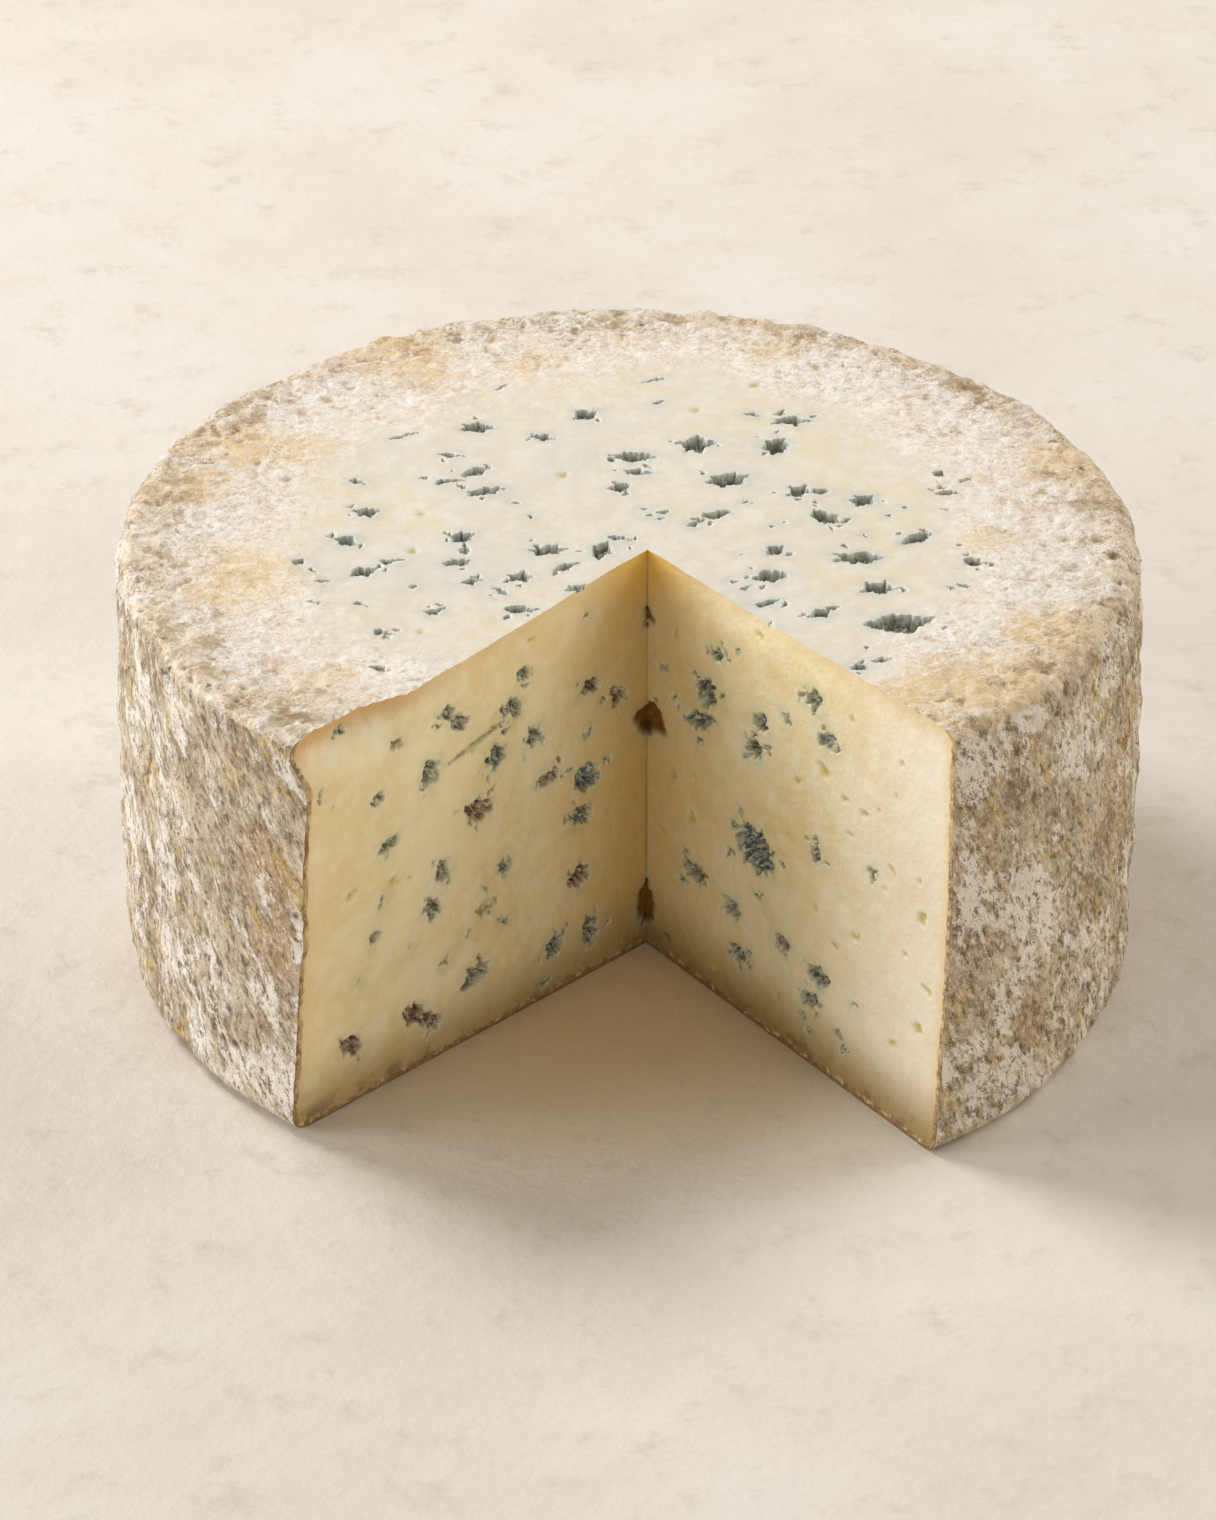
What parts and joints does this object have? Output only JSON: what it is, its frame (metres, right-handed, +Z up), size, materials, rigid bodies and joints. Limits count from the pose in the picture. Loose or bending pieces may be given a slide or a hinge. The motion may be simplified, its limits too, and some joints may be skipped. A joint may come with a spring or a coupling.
{
  "type": "cheese wheel",
  "caption": "Round wheel of blue-veined cheese with a craggy natural rind, a wedge cut out of it and curd openings in its top and cut faces.",
  "frame": {"origin": "centre of the wheel's flat foot, where the axis of the round crust meets the table", "axes": "+Z up the wheel's axis, -Y out of the cut, +X to the right as seen from the cut"},
  "size_m": [0.2007, 0.1832, 0.09],
  "materials": {
    "cheese": "moist pale paste with a dry mottled rind"
  },
  "bodies": {
    "root": {"cheese_wheel": "cheese"}
  },
  "joints": []
}
